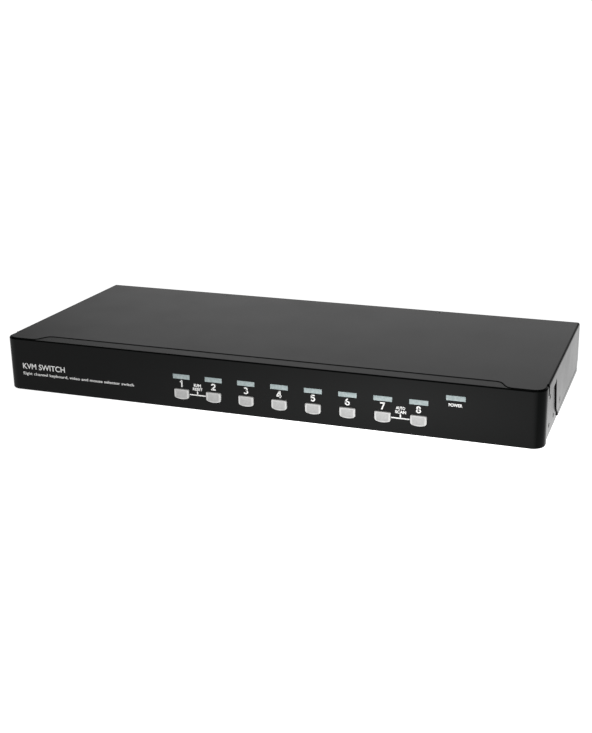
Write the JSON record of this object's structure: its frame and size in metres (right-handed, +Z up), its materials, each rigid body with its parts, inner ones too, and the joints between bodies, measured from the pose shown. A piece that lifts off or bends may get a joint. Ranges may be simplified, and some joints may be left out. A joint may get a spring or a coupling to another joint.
{
  "type": "kvm switch",
  "caption": "Rack-width keyboard, video and mouse switch in a black metal case, with a row of sprung selector buttons under status windows and connectors at the back.",
  "frame": {"origin": "middle of the case's footprint on the surface that it rests on", "axes": "+X to the right as seen from the control panel, +Y from the panel to the connectors, +Z up"},
  "size_m": [0.438, 0.186, 0.044],
  "materials": {
    "case_paint": "fine-textured black powder coat on steel sheet",
    "bezel_plastic": "satin black moulding with white print",
    "button_plastic": "light grey moulding, satin",
    "window_plastic": "pale blue-grey translucent light guide",
    "plunger_plastic": "black nylon",
    "switch_plastic": "black moulding",
    "light_lens": "water-clear epoxy",
    "circuit_board": "green solder mask on glass epoxy",
    "fixing_steel": "zinc plated steel",
    "video_core": "blue moulding",
    "connector_plate": "nickel plated steel",
    "usb_core": "black moulding",
    "black_moulding": "black moulding",
    "black_screw": "black oxide steel",
    "ribbon": "grey flat cable",
    "chip_resin": "black epoxy",
    "can_sleeve": "dark sleeve"
  },
  "bodies": {
    "chassis": {"base_tray": "case_paint", "bezel_screws": "fixing_steel", "board_screws": "fixing_steel", "board_spacers": "fixing_steel", "buzzer": "black_moulding", "capacitors": "can_sleeve", "channel_window_1": "window_plastic", "channel_window_2": "window_plastic", "channel_window_3": "window_plastic", "channel_window_4": "window_plastic", "channel_window_5": "window_plastic", "channel_window_6": "window_plastic", "channel_window_7": "window_plastic", "channel_window_8": "window_plastic", "console_usb_shell": "connector_plate", "console_usb_tongues": "usb_core", "console_video_shell": "connector_plate", "cover_screws": "black_screw", "front_bezel": "bezel_plastic", "front_board": "circuit_board", "jackscrews": "connector_plate", "main_board": "circuit_board", "power_jack": "black_moulding", "power_jack_pin": "connector_plate", "power_window": "window_plastic", "processor_chip": "chip_resin", "ribbon_cable": "ribbon", "ribbon_headers": "black_moulding", "status_lights": "light_lens", "switch_chips": "chip_resin", "switch_housings": "switch_plastic", "top_cover": "case_paint", "usb_cores": "usb_core", "usb_shells": "connector_plate", "video_inserts": "video_core", "video_shell_1": "connector_plate", "video_shell_2": "connector_plate", "video_shell_3": "connector_plate", "video_shell_4": "connector_plate", "video_shell_5": "connector_plate", "video_shell_6": "connector_plate", "video_shell_7": "connector_plate", "video_shell_8": "connector_plate", "voltage_regulator": "chip_resin"},
    "button_1": {"select_button_1": "button_plastic", "switch_plunger_1": "plunger_plastic"},
    "button_2": {"select_button_2": "button_plastic", "switch_plunger_2": "plunger_plastic"},
    "button_3": {"select_button_3": "button_plastic", "switch_plunger_3": "plunger_plastic"},
    "button_4": {"select_button_4": "button_plastic", "switch_plunger_4": "plunger_plastic"},
    "button_5": {"select_button_5": "button_plastic", "switch_plunger_5": "plunger_plastic"},
    "button_6": {"select_button_6": "button_plastic", "switch_plunger_6": "plunger_plastic"},
    "button_7": {"select_button_7": "button_plastic", "switch_plunger_7": "plunger_plastic"},
    "button_8": {"select_button_8": "button_plastic", "switch_plunger_8": "plunger_plastic"}
  },
  "joints": [
    {"name": "press_1", "type": "slide", "parent": "chassis", "child": "button_1", "axis": [0, 1, 0], "range_m": [0, 0.0003], "stiffness_N_per_m": 5000},
    {"name": "press_2", "type": "slide", "parent": "chassis", "child": "button_2", "axis": [0, 1, 0], "range_m": [0, 0.0003], "stiffness_N_per_m": 5000},
    {"name": "press_3", "type": "slide", "parent": "chassis", "child": "button_3", "axis": [0, 1, 0], "range_m": [0, 0.0003], "stiffness_N_per_m": 5000},
    {"name": "press_4", "type": "slide", "parent": "chassis", "child": "button_4", "axis": [0, 1, 0], "range_m": [0, 0.0003], "stiffness_N_per_m": 5000},
    {"name": "press_5", "type": "slide", "parent": "chassis", "child": "button_5", "axis": [0, 1, 0], "range_m": [0, 0.0003], "stiffness_N_per_m": 5000},
    {"name": "press_6", "type": "slide", "parent": "chassis", "child": "button_6", "axis": [0, 1, 0], "range_m": [0, 0.0003], "stiffness_N_per_m": 5000},
    {"name": "press_7", "type": "slide", "parent": "chassis", "child": "button_7", "axis": [0, 1, 0], "range_m": [0, 0.0003], "stiffness_N_per_m": 5000},
    {"name": "press_8", "type": "slide", "parent": "chassis", "child": "button_8", "axis": [0, 1, 0], "range_m": [0, 0.0003], "stiffness_N_per_m": 5000}
  ]
}
